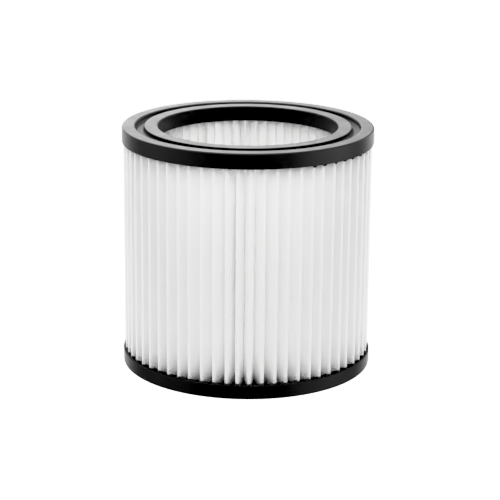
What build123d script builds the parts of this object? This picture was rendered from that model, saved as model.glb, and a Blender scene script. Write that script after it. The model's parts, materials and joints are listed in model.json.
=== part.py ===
from build123d import *
import os
from math import acos, degrees

# Pleated cartridge filter for a wet and dry vacuum cleaner.
# A closed sleeve of pleated fleece stands between two end rings of cast soft polyurethane.
# The top ring has a groove in its face, which presses on a rib round the suction inlet.
# Millimetres, +Z up the axis of the sleeve, with the origin in the middle of the underside.

# Driving dimensions of the whole cartridge
outer_diameter = 140.0
bore_diameter = 100.0
overall_height = 136.0

# End rings
top_ring_height = 8.5
bottom_ring_height = 7.7
rim_chamfer = 0.8
mouth_chamfer = 0.6
casting_chamfer = 0.4

# Seal groove, half way across the face of the top ring
groove_width = 5.0
groove_depth = 2.8
groove_lead_in = 0.5

# Pleated fleece: its crests stay back from the rim of the rings, its inner creases from the bore
pleat_count = 60
fleece_thickness = 0.9
crest_setback = 1.4
crease_setback = 3.9

# Sizes that follow from the driving ones
outer_radius = outer_diameter / 2
bore_radius = bore_diameter / 2
ring_width = outer_radius - bore_radius
top_ring_underside = overall_height - top_ring_height
groove_mid_radius = (outer_radius + bore_radius) / 2
fleece_height = top_ring_underside - bottom_ring_height
pleat_angle = 360 / pleat_count
outer_crease_radius = outer_radius - crest_setback - fleece_thickness
inner_crease_radius = bore_radius + crease_setback


def crease_point(radius, angle):
    """A crease of the fleece, seen from above."""
    return Vector(radius, 0, 0).rotate(Axis.Z, angle)


def flank_end(crease, next_crease, side):
    """Where one face of a flank, straight from its crease, passes the next crease.

    The face keeps the thickness of the fleece from that crease. side is 1 where it passes
    the crease on the left, as seen from the crease, and -1 on the right.
    """
    flank = crease - next_crease
    turn = degrees(acos(fleece_thickness / flank.length))
    return next_crease + flank.normalized().rotate(Axis.Z, side * turn) * fleece_thickness


def outer_fold(crest_angle):
    """Outer face of one pleat: two flanks and a crest that is round about its crease."""
    centre = crease_point(outer_crease_radius, crest_angle)
    before = crease_point(inner_crease_radius, crest_angle - pleat_angle / 2)
    after = crease_point(inner_crease_radius, crest_angle + pleat_angle / 2)
    crest = crease_point(outer_crease_radius + fleece_thickness, crest_angle)
    crest_start = flank_end(before, centre, 1)
    crest_end = flank_end(after, centre, -1)
    Line(before, crest_start)
    ThreePointArc(crest_start, crest, crest_end)
    Line(crest_end, after)


def inner_fold(fold_angle):
    """Inner face between two pleats: two flanks and a fold that is pressed flat."""
    centre = crease_point(inner_crease_radius, fold_angle)
    before = crease_point(outer_crease_radius, fold_angle - pleat_angle / 2)
    after = crease_point(outer_crease_radius, fold_angle + pleat_angle / 2)
    fold_start = flank_end(before, centre, -1)
    fold_end = flank_end(after, centre, 1)
    fold_start += (fold_start - before).normalized() * fleece_thickness
    fold_end += (fold_end - after).normalized() * fleece_thickness
    Polyline(before, fold_start, fold_end, after)


# Top end ring: a flat cast ring with the seal groove between its two lands
with BuildPart() as top_end_ring:
    with BuildSketch(Plane.XZ) as top_ring_section:
        with Locations((bore_radius, top_ring_underside)):
            Rectangle(ring_width, top_ring_height, align=(Align.MIN, Align.MIN))
        with Locations((groove_mid_radius, overall_height)):
            Rectangle(groove_width, groove_depth, align=(Align.CENTER, Align.MAX), mode=Mode.SUBTRACT)
        face_corners = top_ring_section.vertices().group_by(Axis.Y)[-1].sort_by(Axis.X)
        casting_corners = top_ring_section.vertices().group_by(Axis.Y)[0]
        chamfer(face_corners[0], mouth_chamfer)
        chamfer(face_corners[1:-1], groove_lead_in)
        chamfer(face_corners[-1], rim_chamfer)
        chamfer(casting_corners, casting_chamfer)
    revolve(axis=Axis.Z)

# Bottom end ring: a plain cast ring
with BuildPart() as bottom_end_ring:
    with BuildSketch(Plane.XZ) as bottom_ring_section:
        with Locations((bore_radius, 0)):
            Rectangle(ring_width, bottom_ring_height, align=(Align.MIN, Align.MIN))
        foot_corners = bottom_ring_section.vertices().group_by(Axis.Y)[0].sort_by(Axis.X)
        casting_corners = bottom_ring_section.vertices().group_by(Axis.Y)[-1]
        chamfer(foot_corners[0], mouth_chamfer)
        chamfer(foot_corners[-1], rim_chamfer)
        chamfer(casting_corners, casting_chamfer)
    revolve(axis=Axis.Z)

# Pleated fleece: one strip, folded tight and closed in a loop, from ring face to ring face
with BuildPart() as pleated_fleece:
    with BuildSketch(Plane.XY.offset(bottom_ring_height)) as fleece_section:
        with BuildLine():
            for pleat in range(pleat_count):
                outer_fold(pleat * pleat_angle)
        make_face()
        with BuildLine():
            for pleat in range(pleat_count):
                inner_fold((pleat + 0.5) * pleat_angle)
        make_face(mode=Mode.SUBTRACT)
    extrude(amount=fleece_height)

top_end_ring.part.label = "top_end_ring"
pleated_fleece.part.label = "pleated_fleece"
bottom_end_ring.part.label = "bottom_end_ring"

os.makedirs("parts", exist_ok=True)
export_step(top_end_ring.part, "parts/top_end_ring.step")
export_step(pleated_fleece.part, "parts/pleated_fleece.step")
export_step(bottom_end_ring.part, "parts/bottom_end_ring.step")
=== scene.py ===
# %% [markdown]
# # A pleated cartridge filter
# The real filter is one strip of white fleece, folded into pleats and closed in a loop. Its two
# ends are cast into black rings of soft polyurethane, and a groove in the top ring seals it on the
# vacuum cleaner. The measured model gives every size, and this lesson adds what a drawing leaves
# out: rounded edges, pleats that are never quite even, fibres, and the skin of the casting.

# %% Load the measured model
import json
import math
import random

import bpy
from mathutils import Matrix, Vector


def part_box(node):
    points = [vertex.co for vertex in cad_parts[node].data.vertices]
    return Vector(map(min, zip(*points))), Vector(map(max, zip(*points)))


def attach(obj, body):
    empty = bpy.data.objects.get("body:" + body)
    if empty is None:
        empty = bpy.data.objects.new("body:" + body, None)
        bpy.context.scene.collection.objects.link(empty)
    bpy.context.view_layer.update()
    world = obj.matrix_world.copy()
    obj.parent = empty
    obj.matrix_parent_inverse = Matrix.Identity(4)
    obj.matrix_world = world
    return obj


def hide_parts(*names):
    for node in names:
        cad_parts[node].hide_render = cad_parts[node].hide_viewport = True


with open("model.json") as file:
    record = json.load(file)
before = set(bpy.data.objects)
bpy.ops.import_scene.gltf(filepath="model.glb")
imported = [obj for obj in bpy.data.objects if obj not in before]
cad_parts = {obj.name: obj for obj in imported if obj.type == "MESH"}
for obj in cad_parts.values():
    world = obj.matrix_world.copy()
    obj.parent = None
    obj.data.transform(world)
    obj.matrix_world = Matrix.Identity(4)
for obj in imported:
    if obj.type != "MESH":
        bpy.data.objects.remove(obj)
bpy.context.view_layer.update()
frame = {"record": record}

# %% [markdown]
# ## Sizes
# Blender works in metres. The places of the rings and of the fleece are read from the measured
# model, so that nothing has to be fitted by eye. The groove's width and the small radii are
# written in millimetres where they are needed, because a box can't tell them.

# %% Read the sizes of the rings and the fleece
MM = 0.001
mounts = {mount["name"]: mount for mount in frame["record"]["mounts"]}
top_low, top_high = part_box("top_end_ring")
foot_low, foot_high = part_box("bottom_end_ring")
fleece_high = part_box("pleated_fleece")[1]
outer_radius = top_high[0]
bore_radius = mounts["top_bore"]["dims"]["r_mm"] * MM
crest_radius = fleece_high[0]
overall_height = top_high[2]
groove_mid_radius = mounts["seal_groove"]["pos_m"][0]
groove_floor = mounts["seal_groove"]["pos_m"][2]
print("outer radius", round(outer_radius, 4), "bore", bore_radius, "crests", round(crest_radius, 4))

# %% [markdown]
# ## Helpers
# Operators act on whatever is selected, so each piece starts with nothing selected. In edit mode
# the points are picked by their place, as a modeller would click on them.

# %% Define the selection and finishing helpers


def start_clean():
    """Leave nothing selected, in object mode."""
    if bpy.context.object and bpy.context.object.mode != "OBJECT":
        bpy.ops.object.mode_set(mode="OBJECT")
    bpy.ops.object.select_all(action="DESELECT")


def pick_points(piece, wanted):
    """Select, in edit mode, the points of a piece for which wanted(place) is true."""
    bpy.ops.object.mode_set(mode="EDIT")
    bpy.ops.mesh.select_mode(type="VERT")
    bpy.ops.mesh.select_all(action="DESELECT")
    bpy.ops.object.mode_set(mode="OBJECT")
    for vertex in piece.data.vertices:
        vertex.select = bool(wanted(vertex.co))
    bpy.ops.object.mode_set(mode="EDIT")


def apply_modifiers(piece):
    """Make the modifiers of a piece part of its mesh."""
    bpy.context.view_layer.objects.active = piece
    for modifier in list(piece.modifiers):
        bpy.ops.object.modifier_apply(modifier=modifier.name)


print("helpers ready")

# %% [markdown]
# ## The cast rings
# Each ring is poured into an open mould, so every section through it is the same. The quick way
# is to draw that section once, round its corners and spin it about the axis. A plane gives the
# section, and bisect cuts the outline of each channel into it.

# %% Draw the section of a ring
straight_angle = math.radians(1)


def ring_section(name, low_z, high_z):
    """A plane with the size of the section, standing beside the axis."""
    start_clean()
    bpy.ops.mesh.primitive_plane_add(size=1, rotation=(math.pi / 2, 0, 0))
    section = bpy.context.object
    section.name = name
    section.scale = (outer_radius - bore_radius, high_z - low_z, 1)
    section.location = ((outer_radius + bore_radius) / 2, 0, (low_z + high_z) / 2)
    bpy.ops.object.transform_apply(location=True, rotation=True, scale=True)
    return section


def cut_channel(section, inner_edge, outer_edge, floor, side):
    """Cut a channel into the section, from above where side is 1 and from below where it is -1."""
    cuts = [
        ((inner_edge, 0, 0), (1, 0, 0)),
        ((outer_edge, 0, 0), (1, 0, 0)),
        ((0, 0, floor), (0, 0, 1)),
    ]
    bpy.ops.object.mode_set(mode="EDIT")
    for place, direction in cuts:
        bpy.ops.mesh.select_all(action="SELECT")
        bpy.ops.mesh.bisect(plane_co=place, plane_no=direction)
    bpy.ops.mesh.select_mode(type="FACE")
    bpy.ops.mesh.select_all(action="DESELECT")
    bpy.ops.object.mode_set(mode="OBJECT")
    for face in section.data.polygons:
        between = inner_edge < face.center.x < outer_edge
        face.select = between and (face.center.z - floor) * side > 0
    bpy.ops.object.mode_set(mode="EDIT")
    bpy.ops.mesh.delete(type="FACE")
    bpy.ops.object.mode_set(mode="OBJECT")


def join_section(section):
    """Dissolve the cutting lines, so that only the corners of the outline are left."""
    bpy.ops.object.mode_set(mode="EDIT")
    bpy.ops.mesh.select_all(action="SELECT")
    bpy.ops.mesh.dissolve_limited(angle_limit=straight_angle)
    bpy.ops.object.mode_set(mode="OBJECT")
    print(section.name, "has", len(section.data.vertices), "corners")


print("section helpers ready")

# %% [markdown]
# ## Round the corners and spin
# A bevel on a single point rounds a corner of the section, with the radius that the mould has
# there. Spin then turns the outline about the axis. Its last copy lands on its first, so doubles
# are merged, and weighted normals keep the flat lands level beside their rounded edges.

# %% Define the rounding and the spin
ring_spin_steps = 288
corner_segments = 5
same_place = 0.02 * MM
weld_distance = 0.002 * MM
sharp_angle = math.radians(35)


def round_corner(section, from_axis, height, rounding):
    """Round the corner of the section at this distance from the axis and this height."""
    def here(place):
        return abs(place.x - from_axis) < same_place and abs(place.z - height) < same_place

    pick_points(section, here)
    bpy.ops.mesh.bevel(offset=rounding, segments=corner_segments, affect="VERTICES")
    bpy.ops.object.mode_set(mode="OBJECT")


def spin_section(section):
    """Spin the outline of the section about the axis into a closed ring."""
    bpy.ops.object.mode_set(mode="EDIT")
    bpy.ops.mesh.select_all(action="SELECT")
    bpy.ops.mesh.delete(type="ONLY_FACE")
    bpy.ops.mesh.select_all(action="SELECT")
    bpy.ops.mesh.spin(steps=ring_spin_steps, angle=2 * math.pi, center=(0, 0, 0), axis=(0, 0, 1))
    bpy.ops.mesh.select_all(action="SELECT")
    bpy.ops.mesh.remove_doubles(threshold=weld_distance)
    bpy.ops.mesh.normals_make_consistent(inside=False)
    bpy.ops.object.mode_set(mode="OBJECT")
    bpy.ops.object.shade_smooth_by_angle(angle=sharp_angle)
    level = section.modifiers.new("lands stay level", "WEIGHTED_NORMAL")
    level.keep_sharp = True
    apply_modifiers(section)


print("ring helpers ready")

# %% [markdown]
# ## Where the casting sank
# The fleece side of each ring was the open side of its mould. There the casting sank between the
# pleats as it cured, and stood up at the walls. It sank more in the foot, which was cast first. So
# that side gets a channel, with soft corners on its floor and a narrow lip along each wall.

# %% Define how a ring's fleece side looks
lip_width = 1.2 * MM
top_sink = 1.0 * MM
foot_sink = 2.2 * MM
sink_floor_rounding = 0.6 * MM
lip_rounding = 0.2 * MM
sink_inner = bore_radius + lip_width
sink_outer = outer_radius - lip_width


def round_sink(section, fleece_side, floor):
    """Round the floor of the channel and both edges of each lip."""
    for wall in (sink_inner, sink_outer):
        round_corner(section, wall, floor, sink_floor_rounding)
    for edge in (bore_radius, sink_inner, sink_outer, outer_radius):
        round_corner(section, edge, fleece_side, lip_rounding)


print("sinks", top_sink, foot_sink, "lip width", lip_width)

# %% [markdown]
# ## Top ring
# The mould side is the upper face, so its edges are round and clean: a soft rim outside, a smaller
# radius at the bore, and a round floor in the seal groove. The outer edge of the groove leads in
# the sealing rib, so it is rounder than the inner one.

# %% Model the top ring
groove_width = 5.0 * MM
rim_rounding = 0.9 * MM
mouth_rounding = 0.7 * MM
groove_inner_rounding = 0.35 * MM
groove_outer_rounding = 0.95 * MM
groove_floor_rounding = 1.4 * MM
groove_inner = groove_mid_radius - groove_width / 2
groove_outer = groove_mid_radius + groove_width / 2

top_ring = ring_section("top_ring_casting", top_low[2], top_high[2])
cut_channel(top_ring, groove_inner, groove_outer, groove_floor, 1)
cut_channel(top_ring, sink_inner, sink_outer, top_low[2] + top_sink, -1)
join_section(top_ring)
round_corner(top_ring, outer_radius, top_high[2], rim_rounding)
round_corner(top_ring, bore_radius, top_high[2], mouth_rounding)
round_corner(top_ring, groove_inner, top_high[2], groove_inner_rounding)
round_corner(top_ring, groove_outer, top_high[2], groove_outer_rounding)
for groove_wall in (groove_inner, groove_outer):
    round_corner(top_ring, groove_wall, groove_floor, groove_floor_rounding)
round_sink(top_ring, top_low[2], top_low[2] + top_sink)
spin_section(top_ring)
print("top ring faces:", len(top_ring.data.polygons))

# %% [markdown]
# ## Bottom ring
# The same ring without a groove, cast the other way up: here the round mould edges are below.

# %% Model the bottom ring
foot_ring = ring_section("bottom_ring_casting", foot_low[2], foot_high[2])
cut_channel(foot_ring, sink_inner, sink_outer, foot_high[2] - foot_sink, 1)
join_section(foot_ring)
round_corner(foot_ring, outer_radius, foot_low[2], rim_rounding)
round_corner(foot_ring, bore_radius, foot_low[2], mouth_rounding)
round_sink(foot_ring, foot_high[2], foot_high[2] - foot_sink)
spin_section(foot_ring)
print("bottom ring faces:", len(foot_ring.data.polygons))

# %% [markdown]
# ## Where the pleats stand
# A machine folds the strip evenly, but the loop is then pushed into the mould by hand. So the
# pleats crowd a little in front and behind, no two are quite the same distance apart, and each
# leans or bows a little between the rings. A seeded random generator gives every pleat its own
# character, the same on each run.

# %% Give each pleat its own place and lean
pleat_count = 60
pleat_step = 2 * math.pi / pleat_count
pleat_random = random.Random(11)
front = -math.pi / 2
first_crest = math.radians(1.9)
crowding = math.radians(1.9)
spacing_degrees = 0.28
lean_degrees = 0.20
bow_degrees = 0.06
setback_mm = 0.16
billow_mm = 0.10
billow_spread_mm = 0.10


def pleat_character(number):
    """Angle from the front, lean, bow, setback of the crest and billow of one pleat."""
    even = first_crest + number * pleat_step
    shift = math.radians(pleat_random.gauss(0, spacing_degrees))
    return {
        "angle": even - crowding * math.sin(2 * even) + shift,
        "lean": math.radians(pleat_random.gauss(0, lean_degrees)),
        "bow": math.radians(pleat_random.gauss(0, bow_degrees)),
        "setback": abs(pleat_random.gauss(0, setback_mm)) * MM,
        "billow": pleat_random.gauss(billow_mm, billow_spread_mm) * MM,
    }


pleats = [pleat_character(number) for number in range(pleat_count)]
print("pleats:", len(pleats), "first crest at", round(math.degrees(pleats[0]["angle"]), 2), "degrees")

# %% [markdown]
# ## The section of the fleece
# Seen from above, the strip is a zigzag of straight flanks and round folds. Each fold is an arc
# about its crease, and a flank is the straight line that touches two such arcs, one on each side.
# The soft crests swell a little past the measured ones, and the flanks get a slight billow, so
# that they catch the light as cloth does.

# %% Define the folds and flanks
fleece_thickness = 0.6 * MM
crest_rounding = 0.68 * MM
crease_rounding = 0.32 * MM
crest_swell = 0.5 * MM
inner_fold_radius = 53.0 * MM
crest_points = 8
fold_points = 6
flank_points = 3
points_per_pleat = crest_points + fold_points + 2 * flank_points
crest_centre_radius = crest_radius + crest_swell - crest_rounding - fleece_thickness / 2
fold_centre_radius = inner_fold_radius + crease_rounding + fleece_thickness / 2


def seen_from_above(radius, angle):
    """The point at this distance from the axis and this angle from the front."""
    return Vector((radius * math.cos(front + angle), radius * math.sin(front + angle)))


def crest_angle(number, share):
    """Angle of a crest at this share of the height between the rings."""
    pleat = pleats[number % pleat_count]
    whole_turns = number // pleat_count * 2 * math.pi
    sway = pleat["lean"] * (share - 0.5) + pleat["bow"] * math.sin(math.pi * share)
    return whole_turns + pleat["angle"] + sway


def leaving_direction(fold, next_fold, side):
    """Direction from a fold's centre to where the flank to the next fold leaves its arc."""
    across = next_fold - fold
    turn = math.acos((crest_rounding + crease_rounding) / across.length)
    return Matrix.Rotation(side * turn, 2) @ across.normalized()


def arc_points(centre, rounding, outwards, first, last, count):
    """Points on a fold's arc, from the first direction, past outwards, to the last."""
    start = math.atan2(outwards.cross(first), outwards.dot(first))
    end = math.atan2(outwards.cross(last), outwards.dot(last))
    turns = [start + (end - start) * step / (count - 1) for step in range(count)]
    return [centre + Matrix.Rotation(turn, 2) @ outwards * rounding for turn in turns]


def flank(start, end, normal, billow):
    """Points between the two ends of a flank, pushed out a little in the middle."""
    shares = [(step + 1) / (flank_points + 1) for step in range(flank_points)]
    return [start.lerp(end, share) + normal * billow * math.sin(math.pi * share) for share in shares]


print("points in a pleat:", points_per_pleat)

# %% [markdown]
# ## The zigzag
# The folds are chained into one line round the loop: a crest, a flank, an inner fold and the flank
# back. Each inner fold lies half way between its two crests, so uneven crests make uneven folds.

# %% Chain the folds at one height


def zigzag(share):
    """All points of the strip's middle line at this share of the height."""
    angles = [crest_angle(number, share) for number in range(-1, pleat_count + 1)]
    crests = [
        seen_from_above(crest_centre_radius - pleats[number % pleat_count]["setback"], angle)
        for number, angle in zip(range(-1, pleat_count + 1), angles)
    ]
    fold_angles = [(angles[place] + angles[place + 1]) / 2 for place in range(pleat_count + 1)]
    folds = [seen_from_above(fold_centre_radius, angle) for angle in fold_angles]
    points = []
    for place in range(1, pleat_count + 1):
        crest, crest_after = crests[place], crests[place + 1]
        fold_before, fold = folds[place - 1], folds[place]
        billow = pleats[(place - 1) % pleat_count]["billow"]
        into_crest = -leaving_direction(fold_before, crest, 1)
        out_of_crest = leaving_direction(crest, fold, -1)
        out_of_fold = leaving_direction(fold, crest_after, 1)
        crest_arc = arc_points(
            crest, crest_rounding, crest.normalized(), into_crest, out_of_crest, crest_points
        )
        fold_arc = arc_points(
            fold, crease_rounding, -fold.normalized(), -out_of_crest, out_of_fold, fold_points
        )
        next_start = crest_after - out_of_fold * crest_rounding
        points += crest_arc
        points += flank(crest_arc[-1], fold_arc[0], out_of_crest, billow)
        points += fold_arc
        points += flank(fold_arc[-1], next_start, -out_of_fold, billow)
    return points


print("points round the strip:", len(zigzag(0.5)))

# %% [markdown]
# ## The pleated fleece
# Sixty separate pleats would never join cleanly, so the strip is made as one loop: a circle with a
# point for every point of the zigzag is extruded up row by row, and each point is then moved to
# its place in the zigzag of that row. A Solidify modifier gives the strip its thickness. The ends
# reach a little way into the rings, as the real ones are cast in.

# %% Model the fleece
fleece_rows = 26
cast_in = 0.6 * MM
around = points_per_pleat * pleat_count
fleece_start = foot_high[2] - foot_sink - cast_in
fleece_end = top_low[2] + top_sink + cast_in
row_height = (fleece_end - fleece_start) / fleece_rows

start_clean()
bpy.ops.mesh.primitive_circle_add(vertices=around, radius=crest_radius, fill_type="NOTHING")
fleece = bpy.context.object
fleece.name = "pleated_strip"
bpy.ops.object.mode_set(mode="EDIT")
bpy.ops.mesh.select_all(action="SELECT")
for row in range(fleece_rows):
    bpy.ops.mesh.extrude_region_move(TRANSFORM_OT_translate={"value": (0, 0, row_height)})
bpy.ops.object.mode_set(mode="OBJECT")

rows = [zigzag(row / fleece_rows) for row in range(fleece_rows + 1)]
for vertex in fleece.data.vertices:
    row = round(vertex.co.z / row_height)
    place = round(math.atan2(vertex.co.y, vertex.co.x) / (2 * math.pi) * around) % around
    vertex.co = (*rows[row][place], fleece_start + row * row_height)

bpy.ops.object.mode_set(mode="EDIT")
bpy.ops.mesh.select_all(action="SELECT")
bpy.ops.mesh.normals_make_consistent(inside=False)
bpy.ops.object.mode_set(mode="OBJECT")
thicken = fleece.modifiers.new("thickness of the fleece", "SOLIDIFY")
thicken.thickness = fleece_thickness
thicken.offset = 0
apply_modifiers(fleece)
bpy.ops.object.shade_smooth()
print("fleece faces:", len(fleece.data.polygons))

# %% [markdown]
# ## Scored creases
# The pleating machine scores the strip where it is to fold, and that presses the fibres together.
# So less light comes through the inside of a crest than through the loose flanks. A value on each
# point of the mesh marks these creases, and the finish reads it.

# %% Mark the scored creases
crease_reach = 0.6 * MM
crease_depth = 1.0 * MM


def is_crease(place):
    """Whether a point lies on the inner face of a crest."""
    angle = math.atan2(place.y, place.x) - front
    share = (place.z - fleece_start) / (fleece_end - fleece_start)
    nearest = round((angle - first_crest) / pleat_step)
    for number in range(nearest - 1, nearest + 2):
        setback = pleats[number % pleat_count]["setback"]
        inner_face = crest_radius + crest_swell - setback - fleece_thickness / 2
        beside = math.remainder(angle - crest_angle(number, share), 2 * math.pi) * crest_radius
        in_crest = crest_centre_radius - crease_depth < place.xy.length < inner_face
        if in_crest and abs(beside) < crease_reach:
            return True
    return False


scored = fleece.data.attributes.new("scored", "FLOAT", "POINT")
for vertex in fleece.data.vertices:
    scored.data[vertex.index].value = float(is_crease(vertex.co))
print("scored points:", sum(point.value > 0.5 for point in scored.data))

# %% [markdown]
# ## Creep beads
# On one side a little of the casting crept out between the crests and set as small beads under
# the top ring. One bead is modelled and copied: a sphere whose root is spread where it sticks to
# the ring. The copies are turned to their places, vary in size, and are joined as one piece.

# %% Model the creep beads
bead_radius = 0.7 * MM
bead_drop = 0.35 * MM
bead_setback = 1.0 * MM
bead_from_axis = outer_radius - bead_setback
bead_beside_crest = math.radians(0.3)
bead_spread = 2.0
bead_smallest = 0.7
bead_largest = 1.25
bead_random = random.Random(5)
beaded_pleats = range(5, 11)

start_clean()
bpy.ops.mesh.primitive_ico_sphere_add(subdivisions=3, radius=bead_radius)
bead = bpy.context.object
bead.name = "creep_beads"
pick_points(bead, lambda place: place.z > 0)
bpy.ops.transform.resize(value=(bead_spread, bead_spread, 1), center_override=(0, 0, 0))
bpy.ops.object.mode_set(mode="OBJECT")
bpy.ops.object.shade_smooth()

beads = [bead]
while len(beads) < len(beaded_pleats):
    start_clean()
    bead.select_set(True)
    bpy.context.view_layer.objects.active = bead
    bpy.ops.object.duplicate()
    beads.append(bpy.context.object)
for number, one_bead in zip(beaded_pleats, beads):
    angle = pleats[number]["angle"] + pleats[number]["lean"] / 2 + bead_beside_crest
    one_bead.location = (*seen_from_above(bead_from_axis, angle), top_low[2] - bead_drop)
    one_bead.rotation_euler = (0, 0, front + angle)
    one_bead.scale = [bead_random.uniform(bead_smallest, bead_largest) for axis in range(3)]
start_clean()
for one_bead in beads:
    one_bead.select_set(True)
bpy.context.view_layer.objects.active = bead
bpy.ops.object.transform_apply(location=True, rotation=True, scale=True)
bpy.ops.object.join()
print("creep beads:", len(beads), "faces:", len(bead.data.polygons))

# %% [markdown]
# ## Node helpers
# A finish is a tree of small nodes. Each helper adds one node to a tree, sets it, links what goes
# in and hands back what comes out, so that the finishes below read like recipes.

# %% Define the node helpers


def new_group(name, inputs, outputs):
    """An empty shader node group with its sockets, its input node and its output node."""
    group = bpy.data.node_groups.new(name, "ShaderNodeTree")
    for socket, kind in inputs:
        group.interface.new_socket(name=socket, in_out="INPUT", socket_type=kind)
    for socket, kind in outputs:
        group.interface.new_socket(name=socket, in_out="OUTPUT", socket_type=kind)
    return group, group.nodes.new("NodeGroupInput"), group.nodes.new("NodeGroupOutput")


def add_noise(tree, vector, scale, detail, distortion=0.0):
    """A noise texture on the given coordinates."""
    texture = tree.nodes.new("ShaderNodeTexNoise")
    texture.inputs["Detail"].default_value = detail
    texture.inputs["Distortion"].default_value = distortion
    tree.links.new(vector, texture.inputs["Vector"])
    if isinstance(scale, float):
        texture.inputs["Scale"].default_value = scale
    else:
        tree.links.new(scale, texture.inputs["Scale"])
    return texture.outputs["Fac"]


def add_ramp(tree, value, low, high, to_low=0.0, to_high=1.0):
    """A value stretched smoothly from one range to another."""
    stretch = tree.nodes.new("ShaderNodeMapRange")
    stretch.interpolation_type = "SMOOTHSTEP"
    stretch.inputs["From Min"].default_value = low
    stretch.inputs["From Max"].default_value = high
    stretch.inputs["To Min"].default_value = to_low
    stretch.inputs["To Max"].default_value = to_high
    tree.links.new(value, stretch.inputs["Value"])
    return stretch.outputs["Result"]


def add_math(tree, operation, first, second):
    """A sum, product or the like of two values."""
    node = tree.nodes.new("ShaderNodeMath")
    node.operation = operation
    for socket, value in zip(node.inputs, (first, second)):
        if isinstance(value, float):
            socket.default_value = value
        else:
            tree.links.new(value, socket)
    return node.outputs["Value"]


print("node helpers ready")

# %% [markdown]
# ## Shared effects
# Two effects are used by both finishes, so each is a node group: a cloudy mottle for slow changes
# over centimetres, and a fine grain for what fingers feel. A group only gives out masks and
# heights, and the shader stays in the material.

# %% Build the mottle and grain groups
mottle_detail = 4.0
mottle_distortion = 0.6
mottle_edges = (0.32, 0.68)
grain_detail = 6.0
effect_inputs = [("Vector", "NodeSocketVector"), ("Scale", "NodeSocketFloat")]

mottle_group, mottle_in, mottle_out = new_group(
    "cloudy_mottle", effect_inputs, [("Mask", "NodeSocketFloat")]
)
mottle_place, mottle_scale = (mottle_in.outputs[name] for name in ("Vector", "Scale"))
mottle_noise = add_noise(mottle_group, mottle_place, mottle_scale, mottle_detail, mottle_distortion)
mottle_mask = add_ramp(mottle_group, mottle_noise, *mottle_edges)
mottle_group.links.new(mottle_mask, mottle_out.inputs["Mask"])

grain_group, grain_in, grain_out = new_group(
    "fine_grain", effect_inputs, [("Height", "NodeSocketFloat")]
)
grain_place, grain_scale = (grain_in.outputs[name] for name in ("Vector", "Scale"))
grain_height = add_noise(grain_group, grain_place, grain_scale, grain_detail)
grain_group.links.new(grain_height, grain_out.inputs["Height"])
print("groups:", mottle_group.name, grain_group.name)

# %% [markdown]
# ## Finishes: helpers
# Every finish starts from a Principled shader on Object coordinates, which stay fixed to the piece.

# %% Define the material helpers


def new_finish(name):
    """A material with its Principled shader, and its Object coordinates."""
    material = bpy.data.materials.new(name)
    material.use_nodes = True
    tree = material.node_tree
    shader = tree.nodes["Principled BSDF"]
    coordinates = tree.nodes.new("ShaderNodeTexCoord").outputs["Object"]
    return material, tree, shader, coordinates


def add_group(tree, group, vector, scale):
    """A node group placed in a material with its own scale."""
    node = tree.nodes.new("ShaderNodeGroup")
    node.node_tree = group
    node.inputs["Scale"].default_value = scale
    tree.links.new(vector, node.inputs["Vector"])
    return node.outputs[0]


def add_mix(tree, mask, low, high):
    """A colour between two colours, or between a linked colour and another."""
    mix = tree.nodes.new("ShaderNodeMix")
    mix.data_type = "RGBA"
    tree.links.new(mask, mix.inputs["Factor"])
    for socket, colour in ((mix.inputs["A"], low), (mix.inputs["B"], high)):
        if isinstance(colour, tuple):
            socket.default_value = (*colour, 1.0)
        else:
            tree.links.new(colour, socket)
    return mix.outputs["Result"]


def add_bump(tree, height, distance, strength, below=None):
    """A bump on the surface, on top of another bump where one is given."""
    bump = tree.nodes.new("ShaderNodeBump")
    bump.inputs["Strength"].default_value = strength
    bump.inputs["Distance"].default_value = distance
    tree.links.new(height, bump.inputs["Height"])
    if below is not None:
        tree.links.new(below, bump.inputs["Normal"])
    return bump.outputs["Normal"]


def add_reach(tree, coordinates):
    """Distance from the axis, and height."""
    axes = tree.nodes.new("ShaderNodeSeparateXYZ")
    tree.links.new(coordinates, axes.inputs["Vector"])
    level = tree.nodes.new("ShaderNodeCombineXYZ")
    for axis in ("X", "Y"):
        tree.links.new(axes.outputs[axis], level.inputs[axis])
    reach = tree.nodes.new("ShaderNodeVectorMath")
    reach.operation = "LENGTH"
    tree.links.new(level.outputs["Vector"], reach.inputs[0])
    return reach.outputs["Value"], axes.outputs["Z"]


print("finish helpers ready")

# %% [markdown]
# ## Cast polyurethane: black skin
# The rings are deep black. A casting skin isn't one shade all over: it is cloudy where the mould
# was waxed unevenly, and it has an orange peel with fine pores, which break up reflections. Both
# are bumps, the finer one on top of the other.

# %% Make the black of the casting
casting_cloud_scale = 95.0
deep_black = (0.0015, 0.0015, 0.0016)
waxed_black = (0.0040, 0.0040, 0.0043)
peel_scale = 160.0
peel_height = 0.10 * MM
peel_strength = 0.20
pore_scale = 1100.0
pore_height = 0.06 * MM
pore_strength = 0.30

casting, casting_tree, casting_shader, casting_place = new_finish("cast_polyurethane_satin")
casting_shader.inputs["Specular IOR Level"].default_value = 0.18
casting_cloud = add_group(casting_tree, mottle_group, casting_place, casting_cloud_scale)
casting_colour = add_mix(casting_tree, casting_cloud, deep_black, waxed_black)
casting_tree.links.new(casting_colour, casting_shader.inputs["Base Color"])
casting_swell = add_group(casting_tree, grain_group, casting_place, peel_scale)
casting_peel = add_bump(casting_tree, casting_swell, peel_height, peel_strength)
casting_pores = add_group(casting_tree, grain_group, casting_place, pore_scale)
casting_skin = add_bump(casting_tree, casting_pores, pore_height, pore_strength, casting_peel)
casting_tree.links.new(casting_skin, casting_shader.inputs["Normal"])
for casting_piece in (top_ring, foot_ring, bead):
    casting_piece.data.materials.append(casting)
print("finish:", casting.name)

# %% [markdown]
# ## Cast polyurethane: satin and dull
# The skin is satin, and its gloss follows the clouds. The bore and the groove were cast against a
# turned core, so below the lands the casting is duller from the bore to the groove. The open side
# of the foot, which touched no mould, is the dullest. The greatest roughness wins.

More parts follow.
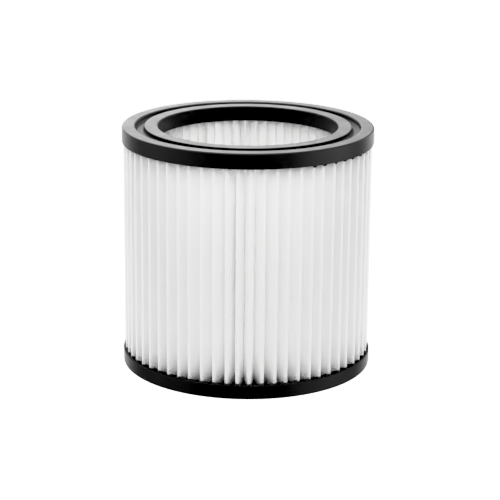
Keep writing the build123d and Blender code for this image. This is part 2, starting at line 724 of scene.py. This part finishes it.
# %% Make the gloss of the casting
satin_roughness = (0.37, 0.41)
core_roughness = 0.45
core_reach = groove_outer + 0.3 * MM
core_edge = 0.6 * MM
core_top = top_high[2] - 0.6 * MM
core_top_edge = 0.4 * MM
open_roughness = 0.65
open_start = foot_high[2] - 0.5 * MM
open_end = foot_high[2] - 0.1 * MM
above_foot = (2 * foot_high[2], 3 * foot_high[2])

casting_reach, casting_height = add_reach(casting_tree, casting_place)
skin_rough = add_ramp(casting_tree, casting_cloud, 0.0, 1.0, *satin_roughness)
core_side = add_ramp(casting_tree, casting_reach, core_reach, core_reach + core_edge, core_roughness, 0.0)
below_lands = add_ramp(casting_tree, casting_height, core_top - core_top_edge, core_top, 1.0, 0.0)
core_rough = add_math(casting_tree, "MULTIPLY", core_side, below_lands)
open_side = add_ramp(casting_tree, casting_height, open_start, open_end, 0.0, open_roughness)
foot_only = add_ramp(casting_tree, casting_height, *above_foot, 1.0, 0.0)
open_rough = add_math(casting_tree, "MULTIPLY", open_side, foot_only)
dull_rough = add_math(casting_tree, "MAXIMUM", core_rough, open_rough)
casting_rough = add_math(casting_tree, "MAXIMUM", skin_rough, dull_rough)
casting_tree.links.new(casting_rough, casting_shader.inputs["Roughness"])
print("gloss of", casting.name, "ready")

# %% [markdown]
# ## Filter fleece: white fibres
# Fleece is a felt of fine white fibres: matt and soft, with faint clouds where the fibres lie
# thicker. It is thin enough that light passes through, which is why even the deep folds and the
# inside look bright. Subsurface scattering over a few millimetres gives that glow, with less of it
# in the scored creases.

# %% Make the white of the fleece
scored_glow = 0.5
glow_reach = 3.4 * MM
thin_white = (0.987, 0.987, 0.985)
thick_white = (0.994, 0.994, 0.992)
fleece_cloud_scale = 130.0
fibre_scale = 1500.0
nap_height = 0.12 * MM
nap_strength = 0.35

fleece_finish, fleece_tree, fleece_shader, fleece_place = new_finish("filter_fleece_white")
fleece_shader.inputs["Roughness"].default_value = 0.95
fleece_shader.inputs["Specular IOR Level"].default_value = 0.15
fleece_shader.inputs["Sheen Weight"].default_value = 0.25
fleece_shader.inputs["Sheen Roughness"].default_value = 0.6
fleece_shader.inputs["Subsurface Radius"].default_value = (1.0, 1.0, 1.0)
fleece_shader.inputs["Subsurface Scale"].default_value = glow_reach
crease_mark = fleece_tree.nodes.new("ShaderNodeAttribute")
crease_mark.attribute_name = "scored"
glow = add_ramp(fleece_tree, crease_mark.outputs["Fac"], 0.0, 1.0, 1.0, scored_glow)
fleece_tree.links.new(glow, fleece_shader.inputs["Subsurface Weight"])
fleece_cloud = add_group(fleece_tree, mottle_group, fleece_place, fleece_cloud_scale)
fleece_white = add_mix(fleece_tree, fleece_cloud, thin_white, thick_white)
fleece_fibre = add_group(fleece_tree, grain_group, fleece_place, fibre_scale)
fleece_nap = add_bump(fleece_tree, fleece_fibre, nap_height, nap_strength)
fleece_tree.links.new(fleece_nap, fleece_shader.inputs["Normal"])
print("white fibres ready")

# %% [markdown]
# ## Filter fleece: where the casting soaked in
# Before it set, the liquid casting soaked into the ends of the strip. At the foot it drew a black
# line, which stands higher on the crests than in the folds. At the top only a trace shows. Each
# line is a height, shaken by a fine noise.

# %% Draw the stained lines
fold_climb = 0.1 * MM
crest_climb = 1.0 * MM
climb_start = 60.0 * MM
fold_line = foot_high[2] - foot_sink + fold_climb
crest_line = foot_high[2] + crest_climb
line_blur = 0.12 * MM
line_shake = 0.35 * MM
shake_scale = 700.0
shake_edges = (0.3, 0.7)

from_axis, height = add_reach(fleece_tree, fleece_place)
stain_noise = add_group(fleece_tree, grain_group, fleece_place, shake_scale)
shake = add_ramp(fleece_tree, stain_noise, *shake_edges, -line_shake, line_shake)
foot_line = add_ramp(fleece_tree, from_axis, climb_start, crest_radius, fold_line, crest_line)
shaken_line = add_math(fleece_tree, "ADD", foot_line, shake)
above_line = add_math(fleece_tree, "SUBTRACT", height, shaken_line)
foot_stain = add_ramp(fleece_tree, above_line, -line_blur, line_blur, 1.0, 0.0)
shaken_height = add_math(fleece_tree, "ADD", height, shake)
top_stain = add_ramp(fleece_tree, shaken_height, top_low[2], top_low[2] + 2 * line_blur)
stain = add_math(fleece_tree, "MAXIMUM", foot_stain, top_stain)
print("stain at the foot from", round(fold_line, 4), "to", round(crest_line, 4), "m")

# %% [markdown]
# ## Filter fleece: specks and painted shade near the rings
# Past each stained line, dark specks thin out with the distance from the ring. They are partly casting
# on single fibres and partly painted shade near the foot and just under the top ring. A fine noise gives
# the specks, and a ramp the haze of painted shade.

# %% Colour the fleece
stain_black = (0.006, 0.006, 0.0066)
# The grey of the specks, which also paints shade near the rings.
speck_and_shade_grey = (0.05, 0.05, 0.05)
speck_scale = 1400.0
speck_edges = (0.53, 0.63)
# How far and how strongly the specks and the painted shade reach from each ring.
foot_specks_and_shade_height = 5.0 * MM
foot_specks_and_shade_strength = 0.8
top_specks_and_shade_start = top_low[2] - 4.0 * MM
top_specks_and_shade_strength = 0.2

speck_noise = add_group(fleece_tree, grain_group, fleece_place, speck_scale)
specks = add_ramp(fleece_tree, speck_noise, *speck_edges)
# Painted shade: the specks darken the fleece towards the foot and just under the top ring, fading away
# from each ring.
foot_specks_and_shade = add_ramp(fleece_tree, above_line, 0.0, foot_specks_and_shade_height, foot_specks_and_shade_strength, 0.0)
top_specks_and_shade = add_ramp(fleece_tree, height, top_specks_and_shade_start, top_low[2], 0.0, top_specks_and_shade_strength)
specks_and_shade = add_math(fleece_tree, "ADD", foot_specks_and_shade, top_specks_and_shade)
speck_and_shade_mask = add_math(fleece_tree, "MULTIPLY", specks, specks_and_shade)
speckled_and_shaded_white = add_mix(fleece_tree, speck_and_shade_mask, fleece_white, speck_and_shade_grey)
fleece_colour = add_mix(fleece_tree, stain, speckled_and_shaded_white, stain_black)
fleece_tree.links.new(fleece_colour, fleece_shader.inputs["Base Color"])
fleece.data.materials.append(fleece_finish)
print("finish:", fleece_finish.name)

# %% [markdown]
# ## Place the pieces on the model
# Nothing moves on this filter, so every piece rides on the one body. The rings and the fleece each
# stand for one measured solid, which is hidden. The beads are of the same casting. The flat length of
# the fleece strip is worked out along its zigzag.

# %% Attach each piece to the body and hide its measured solid
for piece, node, slot in (
    (top_ring, "top_end_ring", "cast_polyurethane"),
    (foot_ring, "bottom_end_ring", "cast_polyurethane"),
    (fleece, "pleated_fleece", "filter_fleece"),
):
    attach(piece, "root")
    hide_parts(node)
    print(piece.name, "stands for", node)
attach(bead, "root")

strip_points = zigzag(0.5)
strip_steps = zip(strip_points, strip_points[1:] + strip_points[:1])
strip_length = sum((end - start).length for start, end in strip_steps)

# %% [markdown]
# ## Floor
# The filter stands on a table that glows evenly in white, so that no hard shadow falls on it. The
# camera sees it brighter than the picture can show, so it comes out as pure white, and it lights
# the filter a little less than that. The black rings would mirror the table and turn grey, so it
# is left out of reflections.

# %% Lay the floor
floor_size = 12.0
floor_seen = 1.75
floor_given = 1.34
start_clean()
bpy.ops.mesh.primitive_plane_add(size=floor_size)
floor = bpy.context.object
floor.name = "floor"
floor_finish, floor_tree, floor_shader = new_finish("lit_white_table")[:3]
floor_shader.inputs["Base Color"].default_value = (0.0, 0.0, 0.0, 1.0)
floor_shader.inputs["Specular IOR Level"].default_value = 0.0
floor_shader.inputs["Emission Color"].default_value = (1.0, 1.0, 1.0, 1.0)
floor_ray = floor_tree.nodes.new("ShaderNodeLightPath")
floor_glow = add_ramp(floor_tree, floor_ray.outputs["Is Camera Ray"], 0.0, 1.0, floor_given, floor_seen)
floor_tree.links.new(floor_glow, floor_shader.inputs["Emission Strength"])
floor.data.materials.append(floor_finish)
floor.visible_glossy = False
print("floor:", floor_size, "m")

# %% [markdown]
# ## Light for the fleece
# White fleece needs soft light from all round. Here it comes from a tent that is a little brighter
# in front and weaker from above, and from a strong panel behind the filter. That panel shines
# through the back of the sleeve, which is why the inside is bright. Every direction in the tent has
# three parts from -1 to 1, to the right, to the back and upwards, and a ramp fades a light between
# two of them. Light bounces many times between white folds, so the number of bounces is raised.

# %% Set up the tent and the panel behind
front_to_sides = (-0.9, 0.0)
straight_behind = (0.5, 0.95)
level_to_above = (0.0, 0.8)
tent_in_front = 1.24
tent_at_sides = 0.66
panel_strength = 8.5
share_above = 0.4
diffuse_bounces = 16
all_bounces = 24

world = bpy.data.worlds.new("light_tent")
bpy.context.scene.world = world
world.use_nodes = True
tent = world.node_tree
tent_light = tent.nodes["Background"]
tent_light.inputs["Color"].default_value = (1.0, 1.0, 1.0, 1.0)
tent_place = tent.nodes.new("ShaderNodeTexCoord").outputs["Generated"]
tent_axes = tent.nodes.new("ShaderNodeSeparateXYZ")
tent.links.new(tent_place, tent_axes.inputs["Vector"])
to_right, to_back, upwards = (tent_axes.outputs[axis] for axis in ("X", "Y", "Z"))

tent_round = add_ramp(tent, to_back, *front_to_sides, tent_in_front, tent_at_sides)
panel_behind = add_ramp(tent, to_back, *straight_behind, 0.0, panel_strength)
weaker_above = add_ramp(tent, upwards, *level_to_above, 1.0, share_above)
tent_and_panel = add_math(tent, "ADD", tent_round, panel_behind)
fleece_light = add_math(tent, "MULTIPLY", tent_and_panel, weaker_above)
bpy.context.scene.cycles.diffuse_bounces = diffuse_bounces
bpy.context.scene.cycles.max_bounces = all_bounces
print("tent and panel ready")

# %% [markdown]
# ## Light for the black rings: walls
# Black satin shows little but what it mirrors, so reflections get a world of their own. The upright
# walls, seen from a little above, mirror what lies just below the horizon. It is dark on the
# camera's side, brighter at the sides, dark again past them and bright straight behind. So the walls
# are black in the middle and end in a light edge. A soft panel on the right lifts that side.

# %% Shape what the walls mirror
front_edge = (-0.95, -0.35)
past_sides = (0.0, 0.5)
below_horizon = (-0.42, -0.14)
at_horizon = (-0.05, 0.15)
right_side = (0.60, 0.90)
right_side_end = (0.0, 0.45)
right_side_foot = (-0.36, -0.10)
walls_in_front = 0.42
walls_at_sides = 1.95
walls_past_sides = -1.6
walls_behind = 2.3
walls_gain = 1.35
right_strength = 3.0
right_gain = 1.3

low_front = add_ramp(tent, to_back, *front_edge, walls_in_front, walls_at_sides)
low_side = add_ramp(tent, to_back, *past_sides, 0.0, walls_past_sides)
low_share = add_ramp(tent, upwards, *below_horizon, 0.0, walls_gain)
low_round = add_math(tent, "MULTIPLY", add_math(tent, "ADD", low_front, low_side), low_share)

right_panel = add_ramp(tent, to_right, *right_side, 0.0, right_strength)
right_end = add_ramp(tent, to_back, *right_side_end, 1.0, 0.0)
right_foot = add_ramp(tent, upwards, *right_side_foot, 0.0, right_gain)
right_part = add_math(tent, "MULTIPLY", right_end, right_foot)
low_right = add_math(tent, "MULTIPLY", right_panel, right_part)

low_behind = add_ramp(tent, to_back, *straight_behind, 0.0, walls_behind)
low_sum = add_math(tent, "ADD", add_math(tent, "ADD", low_round, low_right), low_behind)
low_end = add_ramp(tent, upwards, *at_horizon, 1.0, 0.0)
low_light = add_math(tent, "MULTIPLY", low_sum, low_end)
print("low light ready")

# %% [markdown]
# ## Light for the black rings: lands and edges
# The flat lands of the top ring mirror what is high up behind. That light is strongest straight
# behind and fades to the right, so the lands shade off from left to right. What is left of it at
# the far sides glints on the rounded edges. A weaker light all round and a ceiling make the lands
# and the groove show from the other sides and from above too.

# %% Shape what the lands mirror
sides_to_behind = (0.0, 0.9)
middle_to_right = (0.0, 0.2)
left_to_middle = (-0.50, -0.15)
right_to_far_right = (0.25, 0.55)
across_horizon = (-0.18, 0.14)
above_horizon = (0.08, 0.25)
overhead = (0.5, 0.8)
lands_behind = 3.68
lands_far_left = 0.4
lands_far_right = 0.6
lands_all_round = 1.2
ceiling = 2.5

high_behind = add_ramp(tent, to_back, *sides_to_behind, 0.0, lands_behind)
high_left = add_ramp(tent, to_right, *middle_to_right, 1.0, 0.0)
far_left = add_ramp(tent, to_right, *left_to_middle, lands_far_left, 1.0)
far_right = add_ramp(tent, to_right, *right_to_far_right, 0.0, lands_far_right)
high_share = add_ramp(tent, upwards, *across_horizon)
high_width = add_math(tent, "ADD", add_math(tent, "MULTIPLY", high_left, far_left), far_right)
high_shape = add_math(tent, "MULTIPLY", high_width, high_share)
high_light = add_math(tent, "MULTIPLY", high_behind, high_shape)

round_end = add_ramp(tent, to_back, *past_sides, 1.0, 0.0)
round_share = add_ramp(tent, upwards, *above_horizon, 0.0, lands_all_round)
round_light = add_math(tent, "MULTIPLY", round_end, round_share)
ceiling_light = add_ramp(tent, upwards, *overhead, 0.0, ceiling)
upper_light = add_math(tent, "ADD", high_light, add_math(tent, "ADD", round_light, ceiling_light))
mirrored_light = add_math(tent, "ADD", low_light, upper_light)
print("high light ready")

# %% [markdown]
# ## Two worlds in one
# The Light Path node knows what kind of ray asks for light. Reflections get the light that was shaped
# for the rings, and everything else gets the tent and its panel.

# %% Give reflections their own light
ray = tent.nodes.new("ShaderNodeLightPath")
tent_strength = tent.nodes.new("ShaderNodeMix")
tent.links.new(ray.outputs["Is Glossy Ray"], tent_strength.inputs["Factor"])
tent.links.new(fleece_light, tent_strength.inputs["A"])
tent.links.new(mirrored_light, tent_strength.inputs["B"])
tent.links.new(tent_strength.outputs["Result"], tent_light.inputs["Strength"])
print("nodes in the tent:", len(tent.nodes))

# %% [markdown]
# ## Camera
# The photograph was taken with a long lens from a little above the rim, about a metre away, and
# the camera was a touch off level.

# %% Place the camera
camera_distance = 1.0553
camera_elevation = math.radians(16.02)
camera_roll = math.radians(0.48)
sensor_width = 36.0
lens_length = 134.55
frame_shift_x = 0.0058
frame_shift_y = -0.0145

camera_data = bpy.data.cameras.new("camera")
camera_data.sensor_width = sensor_width
camera_data.lens = lens_length
camera_data.shift_x = frame_shift_x
camera_data.shift_y = frame_shift_y
camera = bpy.data.objects.new("camera", camera_data)
bpy.context.collection.objects.link(camera)
aim = Vector((0, 0, overall_height / 2))
back = Vector((0, -math.cos(camera_elevation), math.sin(camera_elevation)))
camera.location = aim + back * camera_distance
turn = (-back).to_track_quat("-Z", "Y").to_matrix() @ Matrix.Rotation(camera_roll, 3, "Z")
camera.rotation_euler = turn.to_euler()
bpy.context.scene.camera = camera
print("camera at", [round(value, 3) for value in camera.location])

# %% [markdown]
# ## Exposure
# As a photographer would, the black point is set a touch up, so that the deepest blacks are clean.
# The whites end in a soft shoulder, which holds them back more the brighter they are. So the folds
# of the fleece keep their shading, and only the table, past the white point, is pure white.

# %% Set the black point and the shoulder of the whites
black_point = 0.0130
white_point = 1.7
white_shoulder = (
    (0.70, 0.71),
    (0.80, 0.78),
    (0.90, 0.825),
    (1.00, 0.855),
    (1.20, 0.89),
    (1.50, 0.93),
)

view = bpy.context.scene.view_settings
view.view_transform = "Standard"
view.use_curve_mapping = True
view.curve_mapping.black_level = (black_point, black_point, black_point)
view.curve_mapping.white_level = (white_point, white_point, white_point)
all_colours = view.curve_mapping.curves[3]
for light, shown in white_shoulder:
    all_colours.points.new(light / white_point, shown)
for point in all_colours.points:
    point.handle_type = "VECTOR"
view.curve_mapping.update()
print("points on the curve:", len(all_colours.points))
